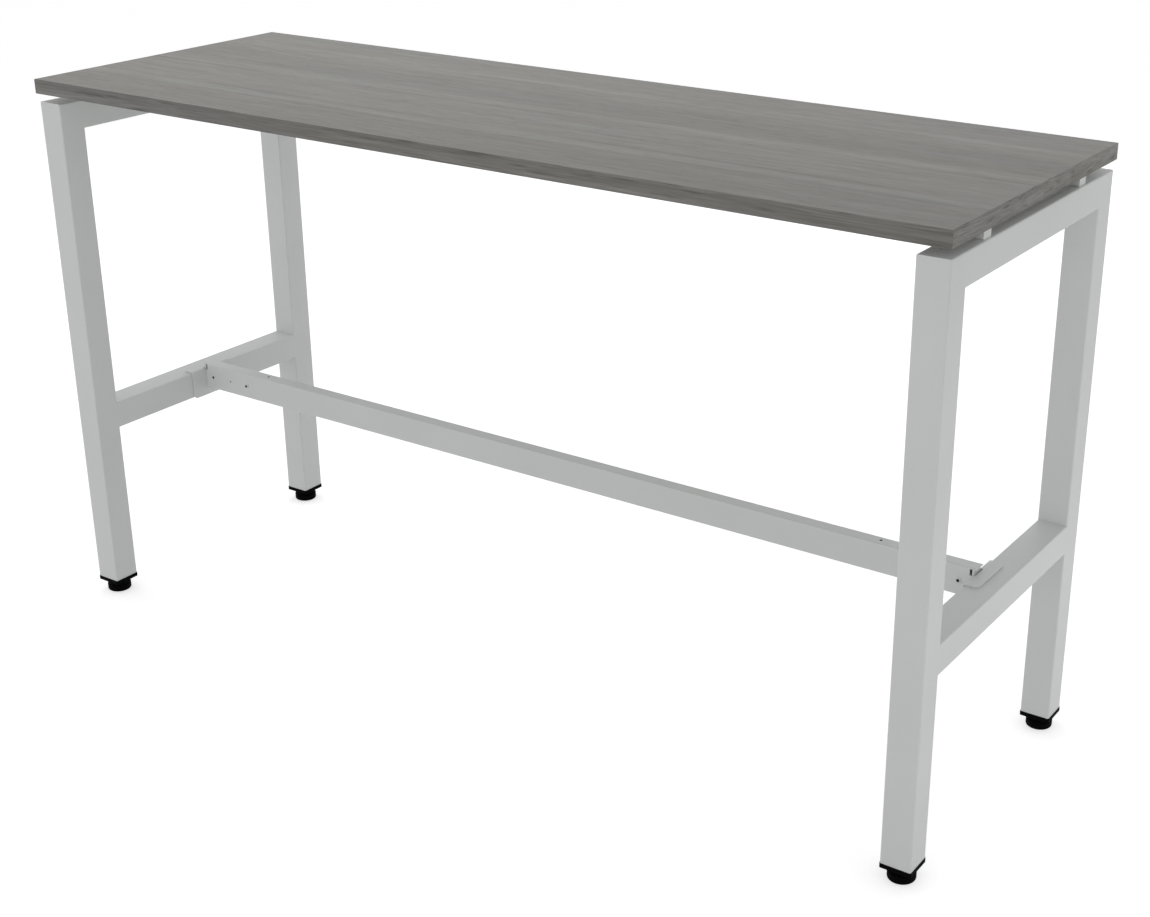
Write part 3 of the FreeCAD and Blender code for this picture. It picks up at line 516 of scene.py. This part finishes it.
def make_wood_screws(finish):
    """Pan-head screws that hold the support rails to the top, with cross recesses."""
    set_upright_screws("pan_head_screws", "top_screws", WOOD_SCREW, cross_tool,
                       WOOD_SCREWS_ALONG, finish)


def make_frame_screws(finish):
    """Socket screws that hold the support rails to the end frames."""
    set_upright_screws("frame_socket_screws", "frame_screws", FRAME_SCREW, hexagon_tool,
                       FRAME_SCREWS_ALONG, finish)


def line_sockets(screws, steel_and_shade, axes, radius, depths):
    """Give the walls and floors of level sockets a dark finish: bare steel with painted shade."""
    screws.data.materials.append(steel_and_shade)
    edit(screws)
    pick_faces(screws, lambda place, normal: depths[0] < place.y < depths[1] and any(
        math.hypot(place.x - x, place.z - z) < radius for x, _, z in axes))
    screws.active_material_index = 1
    bpy.ops.object.material_slot_assign()
    leave_edit()


def make_stretcher_screws(finish, steel_and_shade):
    """Painted screws in the stretcher's front face, two at each end, with dark sockets: bare steel
    darkened further by painted shade.
    """
    low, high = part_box("stretcher_screws")
    head_radius = STRETCHER_SCREW.head_diameter / 2
    outer = high.x - head_radius
    seat = low.y + STRETCHER_SCREW.head_height
    height = (low.z + high.z) / 2
    places = [(side * x, seat, height) for side in (-1, 1)
              for x in (outer, outer - STRETCHER_SCREW_SPACING)]
    screws = set_screws("stretcher_socket_screws", turn_screw(STRETCHER_SCREW, high.y - seat),
                        hexagon_tool(STRETCHER_SCREW), places, turn=(-math.pi / 2, 0, 0))
    fit(screws, finish, "painted_steel", "frame", "stretcher_screws")
    socket_radius = head_radius * SOCKET_SHARE
    depths = (low.y + SOCKET_LIP, seat - SOCKET_LIP)
    line_sockets(screws, steel_and_shade, places, socket_radius * SOCKET_MARGIN, depths)


# Ground welds

def weld_strip(face, inwards, end, outwards, bottom, top):
    """A strip of weld that fills a leg's rounded corner flush with the cross rail's face."""
    place = (face + inwards * WELD_DEPTH / 2, end + outwards * WELD_WIDTH / 2, (bottom + top) / 2)
    strip = begin("strip", bpy.ops.mesh.primitive_cube_add, size=1, location=place,
                  scale=(WELD_DEPTH, WELD_WIDTH, top - bottom))
    edit(strip)
    pick_edges(strip, lambda a, b: abs(a.y - b.y) > WELD_WIDTH / 2 and inwards * (a.x - place[0]) < 0)
    bpy.ops.mesh.bevel(offset=TUBE_CORNER, segments=TUBE_CORNER_STEPS, affect="EDGES")
    leave_edit()
    return strip


def make_ground_welds(finish):
    """Welds between the cross rails and the legs, ground flush before painting."""
    for side in SIDES:
        low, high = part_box(f"cross_rail_{side}")
        for depth, end, outwards in (("front", low.y, -1), ("back", high.y, 1)):
            strips = [weld_strip(face, inwards, end, outwards, low.z, high.z)
                      for face, inwards in ((low.x, 1), (high.x, -1))]
            weld = join(strips, f"ground_weld_{depth}_{side}")
            smooth(weld)
            fit(weld, finish, "painted_steel", "frame")


# Finishes

def put(tree, kind, settings=None, inputs=None):
    """Add a node and set it by name."""
    node = tree.nodes.new(kind)
    for name, value in (settings or {}).items():
        setattr(node, name, value)
    for name, value in (inputs or {}).items():
        node.inputs[name].default_value = value
    return node


def feed(tree, socket, value):
    """Link a socket to another node's output, or set it to a number."""
    if isinstance(value, bpy.types.NodeSocket):
        tree.links.new(value, socket)
    else:
        socket.default_value = value


def maths(tree, operation, *values):
    """One step of arithmetic on outputs or numbers."""
    node = put(tree, "ShaderNodeMath", {"operation": operation})
    for socket, value in zip(node.inputs, values):
        feed(tree, socket, value)
    return node.outputs["Value"]


def remap(tree, value, from_range, to_range):
    """A value carried from one range to another and held at its ends."""
    node = put(tree, "ShaderNodeMapRange", inputs={
        "From Min": from_range[0], "From Max": from_range[1],
        "To Min": to_range[0], "To Max": to_range[1]})
    feed(tree, node.inputs["Value"], value)
    return node.outputs["Result"]


def shade(tree, value, places, colours):
    """Colours laid out over a value, each at its own place on the way."""
    ramp = put(tree, "ShaderNodeValToRGB")
    elements = ramp.color_ramp.elements
    while len(elements) < len(colours):
        elements.new(0.5)
    for element, place, colour in zip(elements, places, colours):
        element.position = place
        element.color = (*colour, 1.0)
    feed(tree, ramp.inputs["Fac"], value)
    return ramp.outputs["Color"]


def noise(tree, vector, rate, detail=2.0, offset=(0.0, 0.0, 0.0)):
    """Soft noise that changes so many times a metre along each axis."""
    stretch = put(tree, "ShaderNodeMapping", inputs={"Scale": rate, "Location": offset})
    feed(tree, stretch.inputs["Vector"], vector)
    texture = put(tree, "ShaderNodeTexNoise", inputs={"Scale": 1.0, "Detail": detail})
    feed(tree, texture.inputs["Vector"], stretch.outputs["Vector"])
    return texture


def weigh(tree, *terms):
    """Even values weighed together about one half, each term a value and its weight."""
    total = 0.5 - sum(weight for _, weight in terms) / 2
    for value, weight in terms:
        total = maths(tree, "MULTIPLY_ADD", value, weight, total)
    return total


def line_mask(tree, value, level, width):
    """Thin lines where a value passes a level."""
    distance = maths(tree, "ABSOLUTE", maths(tree, "SUBTRACT", value, level))
    return remap(tree, distance, (0.0, width), (1.0, 0.0))


def new_group(name, inputs, outputs):
    """A node group with its named sockets, and its two end nodes."""
    group = bpy.data.node_groups.new(name, "ShaderNodeTree")
    for title, kind in inputs:
        group.interface.new_socket(title, in_out="INPUT", socket_type=kind)
    for title, kind in outputs:
        group.interface.new_socket(title, in_out="OUTPUT", socket_type=kind)
    return group, put(group, "NodeGroupInput"), put(group, "NodeGroupOutput")


def place_group(tree, group, vector, **values):
    """Place a group in a finish, on the surface's own coordinates."""
    node = put(tree, "ShaderNodeGroup", {"node_tree": group})
    feed(tree, node.inputs["Vector"], vector)
    for name, value in values.items():
        node.inputs[name.replace("_", " ")].default_value = value
    return node


def new_finish(name):
    """A material with its shader and its object coordinates."""
    finish = bpy.data.materials.new(name)
    finish.use_nodes = True
    tree = finish.node_tree
    shader = tree.nodes["Principled BSDF"]
    place = put(tree, "ShaderNodeTexCoord").outputs["Object"]
    return finish, tree, shader, place


def raise_relief(tree, shader, height, depth):
    """Turn a height into a fine relief of so many metres."""
    bump = put(tree, "ShaderNodeBump", inputs={"Strength": 1.0, "Distance": depth})
    feed(tree, bump.inputs["Height"], height)
    feed(tree, shader.inputs["Normal"], bump.outputs["Normal"])


def make_stipple_group():
    """Fine rounded bumps of a given rate and the slow drift of a sprayed or moulded surface."""
    group, start, end = new_group(
        "fine_stipple", [("Vector", "NodeSocketVector"), ("Rate", "NodeSocketFloat")],
        [("Height", "NodeSocketFloat"), ("Drift", "NodeSocketFloat")])
    bumps = put(group, "ShaderNodeTexNoise", inputs={"Detail": 1.5, "Roughness": 0.45})
    feed(group, bumps.inputs["Vector"], start.outputs["Vector"])
    feed(group, bumps.inputs["Scale"], start.outputs["Rate"])
    drift = noise(group, start.outputs["Vector"], DRIFT_RATE, detail=3.0)
    feed(group, end.inputs["Height"], bumps.outputs["Fac"])
    feed(group, end.inputs["Drift"], drift.outputs["Fac"])
    return group


def make_bloom_group():
    """Clouds and fine rubbing marks of a plated or blackened metal."""
    group, start, end = new_group(
        "metal_bloom", [("Vector", "NodeSocketVector")],
        [("Cloud", "NodeSocketFloat"), ("Rub", "NodeSocketFloat")])
    cloud = noise(group, start.outputs["Vector"], CLOUD_RATE, detail=4.0)
    rub = noise(group, start.outputs["Vector"], RUB_RATE)
    feed(group, end.inputs["Cloud"], cloud.outputs["Fac"])
    feed(group, end.inputs["Rub"], rub.outputs["Fac"])
    return group


def bend_grain(group, vector, rate, reach):
    """Push the grain sideways by a soft noise, so that its lines wander."""
    wander = noise(group, vector, rate)
    centred = put(group, "ShaderNodeVectorMath", {"operation": "SUBTRACT"})
    feed(group, centred.inputs[0], wander.outputs["Color"])
    centred.inputs[1].default_value = (0.5, 0.5, 0.5)
    pushed = put(group, "ShaderNodeVectorMath", {"operation": "MULTIPLY_ADD"})
    feed(group, pushed.inputs[0], centred.outputs["Vector"])
    pushed.inputs[1].default_value = (0.0, reach, reach)
    feed(group, pushed.inputs[2], vector)
    return pushed.outputs["Vector"]


def make_grain_group():
    """A printed wood grain along the first axis: streaks, fibres, short dark flecks and pores."""
    group, start, end = new_group(
        "printed_grain", [("Vector", "NodeSocketVector")],
        [("Tone", "NodeSocketFloat"), ("Warmth", "NodeSocketFloat"), ("Relief", "NodeSocketFloat")])
    grain = bend_grain(group, start.outputs["Vector"], WANDER_RATE, WANDER_REACH)
    grain = bend_grain(group, grain, RIPPLE_RATE, RIPPLE_REACH)
    streaks = noise(group, grain, STREAK_RATE, detail=4.0).outputs["Fac"]
    fibres = noise(group, grain, FIBRE_RATE).outputs["Fac"]
    flecks = noise(group, grain, FLECK_RATE, detail=1.5, offset=FLECK_SHIFT).outputs["Fac"]
    pores = noise(group, grain, PORE_RATE, detail=1.0).outputs["Fac"]
    fleck_mask = remap(group, flecks, FLECK_SPAN, FULL_RANGE)
    pore_mask = remap(group, pores, PORE_SPAN, FULL_RANGE)

    tone = weigh(group, (streaks, STREAK_TONE), (fibres, FIBRE_TONE))
    tone = maths(group, "MULTIPLY_ADD", fleck_mask, FLECK_TONE, tone)
    tone = maths(group, "MULTIPLY_ADD", pore_mask, PORE_TONE, tone)
    feed(group, end.inputs["Tone"], tone)
    warmth = noise(group, grain, WARMTH_RATE, offset=WARMTH_SHIFT).outputs["Fac"]
    feed(group, end.inputs["Warmth"], warmth)
    relief = weigh(group, (fibres, FIBRE_RELIEF), (streaks, STREAK_RELIEF))
    feed(group, end.inputs["Relief"], maths(group, "MULTIPLY_ADD", pore_mask, PORE_RELIEF, relief))
    return group


def any_line(tree, value, levels, width):
    """Lines where a value passes any of some levels."""
    mask = line_mask(tree, value, levels[0], width)
    for level in levels[1:]:
        mask = maths(tree, "MAXIMUM", mask, line_mask(tree, value, level, width))
    return mask


def draw_figure(tree, place, tone):
    """Lay the broad boards, pale seams and dark lines of the print over the top's grain."""
    bent = bend_grain(tree, place, FIGURE_RATE, FIGURE_REACH)
    across = put(tree, "ShaderNodeSeparateXYZ")
    feed(tree, across.inputs["Vector"], bent)
    depth = across.outputs["Y"]
    patches = noise(tree, bent, PATCH_RATE, detail=3.0).outputs["Fac"]
    for levels, width, fade, weight in (
            (PALE_SEAMS, PALE_SEAM_WIDTH, PALE_SEAM_FADE, PALE_SEAM_TONE),
            (DARK_LINES, DARK_LINE_WIDTH, DARK_LINE_FADE, DARK_LINE_TONE)):
        lines = any_line(tree, depth, levels, width)
        faded = maths(tree, "MULTIPLY", lines, remap(tree, patches, *fade))
        tone = maths(tree, "MULTIPLY_ADD", faded, weight, tone)
    for middle, half_width in DARK_BOARDS:
        distance = maths(tree, "ABSOLUTE", maths(tree, "SUBTRACT", depth, middle))
        board = remap(tree, distance, (half_width - BOARD_BLEND, half_width + BOARD_BLEND), (1.0, 0.0))
        tone = maths(tree, "MULTIPLY_ADD", board, DARK_BOARD_TONE, tone)
    return tone


def toned(colour, share):
    """A colour made darker or lighter."""
    return tuple(part * share for part in colour)


def make_laminate(name, grain_group, turn=0.0, length=1.0, start=0.0, contrast=1.0, share=1.0,
                  figured=False):
    """Warm grey woodgrain laminate.

    The turn lays the grain along its board or band, the length draws it out and the start moves it
    along. The contrast spreads its tones, and the share makes them all darker or lighter: a share
    above one is painted light and one below is painted shade. A figured sheet also gets the broad
    boards, seams and lines of the print.
    """
    finish, tree, shader, place = new_finish(name)
    mapping = put(tree, "ShaderNodeMapping", inputs={
        "Rotation": (0.0, 0.0, turn), "Location": (start, 0.0, 0.0), "Scale": (1 / length, 1.0, 1.0)})
    feed(tree, mapping.inputs["Vector"], place)
    grain = place_group(tree, grain_group, mapping.outputs["Vector"])
    tone = weigh(tree, (grain.outputs["Tone"], contrast))
    if figured:
        tone = draw_figure(tree, place, tone)
    mixed = put(tree, "ShaderNodeMixRGB")
    feed(tree, mixed.inputs["Fac"], remap(tree, grain.outputs["Warmth"], CORE_SPAN, FULL_RANGE))
    for socket, tones in (("Color1", COOL_TONES), ("Color2", WARM_TONES)):
        colours = [toned(colour, share) for colour in tones]
        feed(tree, mixed.inputs[socket], shade(tree, tone, TONE_PLACES, colours))
    feed(tree, shader.inputs["Base Color"], mixed.outputs["Color"])
    feed(tree, shader.inputs["Roughness"], remap(tree, tone, WIDE_SPAN, WOOD_ROUGHNESS))
    shader.inputs["Specular IOR Level"].default_value = WOOD_GLOSS
    raise_relief(tree, shader, grain.outputs["Relief"], WOOD_RELIEF)
    return finish


def hole_shade_mask(tree, place):
    """One inside the stretcher's two top holes, where shade is painted, nought elsewhere."""
    parts = put(tree, "ShaderNodeSeparateXYZ")
    feed(tree, parts.inputs["Vector"], place)
    along = maths(tree, "SUBTRACT", maths(tree, "ABSOLUTE", parts.outputs["X"]), DRILLED_HOLE_PLACE)
    across = parts.outputs["Y"]
    squared = maths(tree, "MULTIPLY_ADD", along, along, maths(tree, "MULTIPLY", across, across))
    inside = maths(tree, "LESS_THAN", squared, DRILLED_HOLE_RADIUS ** 2)
    high_up = maths(tree, "GREATER_THAN", parts.outputs["Z"], DRILLED_HOLE_FLOOR)
    return maths(tree, "MULTIPLY", inside, high_up)


def make_powder_coat(name, stipple, drilled=False):
    """Pale grey powder coat: an even satin with a faint orange-peel ripple. Holes get painted shade."""
    finish, tree, shader, place = new_finish(name)
    surface = place_group(tree, stipple, place, Rate=PAINT_RATE)
    drift = surface.outputs["Drift"]
    colour = shade(tree, drift, MIDDLE_SPAN, PAINT_TONES)
    # Painted shade: where drilled is set, the stretcher's top holes are near black inside
    if drilled:
        mixed = put(tree, "ShaderNodeMixRGB", inputs={"Color2": PAINTED_HOLE_SHADE})
        feed(tree, mixed.inputs["Fac"], hole_shade_mask(tree, place))
        feed(tree, mixed.inputs["Color1"], colour)
        colour = mixed.outputs["Color"]
    feed(tree, shader.inputs["Base Color"], colour)
    feed(tree, shader.inputs["Roughness"], remap(tree, drift, MIDDLE_SPAN, PAINT_ROUGHNESS))
    shader.inputs["Specular IOR Level"].default_value = PAINT_GLOSS
    raise_relief(tree, shader, surface.outputs["Height"], PAINT_RELIEF)
    return finish


def make_black_plastic(stipple):
    """Black moulded plastic with a fine spark-eroded texture."""
    finish, tree, shader, place = new_finish("black_moulded_plastic")
    surface = place_group(tree, stipple, place, Rate=PLASTIC_RATE)
    height = surface.outputs["Height"]
    drift = surface.outputs["Drift"]
    feed(tree, shader.inputs["Base Color"], shade(tree, height, NARROW_SPAN, PLASTIC_TONES))
    feed(tree, shader.inputs["Roughness"], remap(tree, drift, NARROW_SPAN, PLASTIC_ROUGHNESS))
    shader.inputs["Specular IOR Level"].default_value = PLASTIC_GLOSS
    raise_relief(tree, shader, height, PLASTIC_RELIEF)
    return finish


def make_backing(stipple):
    """Plain grey backing sheet, faintly flecked."""
    finish, tree, shader, place = new_finish("grey_backing_sheet")
    surface = place_group(tree, stipple, place, Rate=BACKING_RATE)
    flecks = noise(tree, place, BACKING_FLECK_RATE, detail=3.0).outputs["Fac"]
    tone = weigh(tree, (flecks, BACKING_FLECK_WEIGHT), (surface.outputs["Drift"], BACKING_DRIFT_WEIGHT))
    feed(tree, shader.inputs["Base Color"], shade(tree, tone, MIDDLE_SPAN, BACKING_TONES))
    feed(tree, shader.inputs["Roughness"], remap(tree, tone, MIDDLE_SPAN, BACKING_ROUGHNESS))
    raise_relief(tree, shader, surface.outputs["Height"], BACKING_RELIEF)
    return finish


def make_particle_board():
    """Raw chips of the core board."""
    finish, tree, shader, place = new_finish("particle_board_core")
    chips = put(tree, "ShaderNodeTexVoronoi", inputs={"Scale": CHIP_RATE})
    feed(tree, chips.inputs["Vector"], place)
    fibres = noise(tree, place, CHIP_FIBRE_RATE, detail=3.0).outputs["Fac"]
    tone = weigh(tree, (chips.outputs["Distance"], CHIP_WEIGHT), (fibres, CHIP_FIBRE_WEIGHT))
    feed(tree, shader.inputs["Base Color"], shade(tree, tone, WIDE_SPAN, CHIP_TONES))
    feed(tree, shader.inputs["Roughness"], remap(tree, tone, WIDE_SPAN, CHIP_ROUGHNESS))
    raise_relief(tree, shader, tone, CHIP_RELIEF)
    return finish


def make_metal(name, bloom, tones, roughness):
    """A plated or blackened metal with soft clouds and fine rubbing marks. The blackened steel of the
    sockets is made near black as painted shade.
    """
    finish, tree, shader, place = new_finish(name)
    surface = place_group(tree, bloom, place)
    cloud = surface.outputs["Cloud"]
    rub = surface.outputs["Rub"]
    feed(tree, shader.inputs["Base Color"], shade(tree, cloud, NARROW_SPAN, tones))
    wear = weigh(tree, (cloud, WEAR_WEIGHT), (rub, WEAR_WEIGHT))
    feed(tree, shader.inputs["Roughness"], remap(tree, wear, WIDE_SPAN, roughness))
    shader.inputs["Metallic"].default_value = 1.0
    raise_relief(tree, shader, rub, RUB_RELIEF)
    return finish


def finish_nodes(finishes):
    """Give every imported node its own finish, or else the finish of its slot."""
    for part in frame["record"]["subparts"]:
        node = part["node"]
        materials = frame["nodes"][node].data.materials
        materials.clear()
        materials.append(finishes[NODE_FINISHES.get(node, part["material_slot"])])


# Floor, light and camera

def background_share(tree):
    """One for rays that show the background: straight to the camera, mirrored or through glass."""
    path = put(tree, "ShaderNodeLightPath")
    share = path.outputs["Is Camera Ray"]
    for ray in ("Is Glossy Ray", "Is Transmission Ray"):
        share = maths(tree, "MAXIMUM", share, path.outputs[ray])
    return share


def light_surround():
    """An even dome of light, seen as plain white."""
    world = bpy.data.worlds.new("studio_surround")
    bpy.context.scene.world = world
    world.use_nodes = True
    tree = world.node_tree
    lighting = tree.nodes["Background"]
    lighting.inputs["Color"].default_value = WHITE
    lighting.inputs["Strength"].default_value = SURROUND_LIGHT
    seen = put(tree, "ShaderNodeBackground", inputs={"Color": WHITE, "Strength": 1.0})
    choice = put(tree, "ShaderNodeMixShader")
    feed(tree, choice.inputs["Fac"], background_share(tree))
    feed(tree, choice.inputs[1], lighting.outputs["Background"])
    feed(tree, choice.inputs[2], seen.outputs["Background"])
    feed(tree, tree.nodes["World Output"].inputs["Surface"], choice.outputs["Shader"])


def hang_light(name, place, target, width, height, power):
    """A broad soft panel of light turned to a target."""
    bpy.ops.object.select_all(action="DESELECT")
    bpy.ops.object.light_add(type="AREA", location=place)
    light = bpy.context.active_object
    light.name = name
    light.rotation_euler = (Vector(target) - Vector(place)).to_track_quat("-Z", "Y").to_euler()
    light.data.shape = "RECTANGLE"
    light.data.size = width
    light.data.size_y = height
    light.data.energy = power
    light.visible_camera = False


def lay_floor():
    """A plain white floor that keeps the desk's soft shadow."""
    floor = begin("floor", bpy.ops.mesh.primitive_plane_add, size=FLOOR_SIZE, location=(0, 0, 0))
    finish = bpy.data.materials.new("white_floor")
    finish.use_nodes = True
    tree = finish.node_tree
    tree.nodes.remove(tree.nodes["Principled BSDF"])
    matt = put(tree, "ShaderNodeBsdfDiffuse", inputs={"Color": FLOOR_COLOUR})
    glow = put(tree, "ShaderNodeEmission")
    feed(tree, glow.inputs["Strength"], maths(tree, "MULTIPLY", background_share(tree), FLOOR_GLOW))
    both = put(tree, "ShaderNodeAddShader")
    feed(tree, both.inputs[0], matt.outputs["BSDF"])
    feed(tree, both.inputs[1], glow.outputs["Emission"])
    feed(tree, tree.nodes["Material Output"].inputs["Surface"], both.outputs["Shader"])
    floor.data.materials.append(finish)


def set_camera():
    """The photograph's viewpoint."""
    bpy.ops.object.select_all(action="DESELECT")
    bpy.ops.object.camera_add(location=CAMERA_PLACE)
    camera = bpy.context.active_object
    camera.rotation_euler = CAMERA_AIM.to_track_quat("-Z", "Y").to_euler()
    camera.data.sensor_width = CAMERA_SENSOR
    camera.data.lens = CAMERA_LENS
    camera.data.shift_x, camera.data.shift_y = CAMERA_SHIFT
    bpy.context.scene.camera = camera


def make_finishes():
    """The finish of every material slot, of the nodes with their own and of the screw sockets."""
    stipple = make_stipple_group()
    bloom = make_bloom_group()
    grain = make_grain_group()
    return {
        # The top's share above one is painted light, the long bands' share below one is painted shade
        "woodgrain_laminate": make_laminate("woodgrain_laminate", grain, contrast=0.65, share=1.105,
                                            figured=True),
        "painted_shade_long_band": make_laminate("woodgrain_painted_shade_long_band", grain, length=2.5, start=1.0, contrast=1.6,
                                   share=0.915),
        "end_band": make_laminate("woodgrain_end_band", grain, turn=math.pi / 2, contrast=1.7),
        "painted_steel": make_powder_coat("pale_grey_powder_coat", stipple),
        "stretcher_hole_shade": make_powder_coat("powder_coat_with_hole_shade", stipple, drilled=True),
        "black_plastic": make_black_plastic(stipple),
        "backing_sheet": make_backing(stipple),
        "particle_board": make_particle_board(),
        "zinc_steel": make_metal("bright_zinc_plating", bloom, *ZINC_PLATING),
        "socket_steel_and_shade": make_metal("dark_socket_steel_and_shade", bloom, *SOCKET_STEEL_AND_SHADE),
    }


bpy.context.scene.view_settings.view_transform = "Standard"
light_surround()
for panel, settings in PANELS.items():
    hang_light(panel, *settings)
lay_floor()
set_camera()
finishes = make_finishes()
finish_nodes(finishes)
make_studs(finishes["zinc_steel"])
make_wood_screws(finishes["zinc_steel"])
make_frame_screws(finishes["zinc_steel"])
make_stretcher_screws(finishes["painted_steel"], finishes["socket_steel_and_shade"])
make_ground_welds(finishes["painted_steel"])
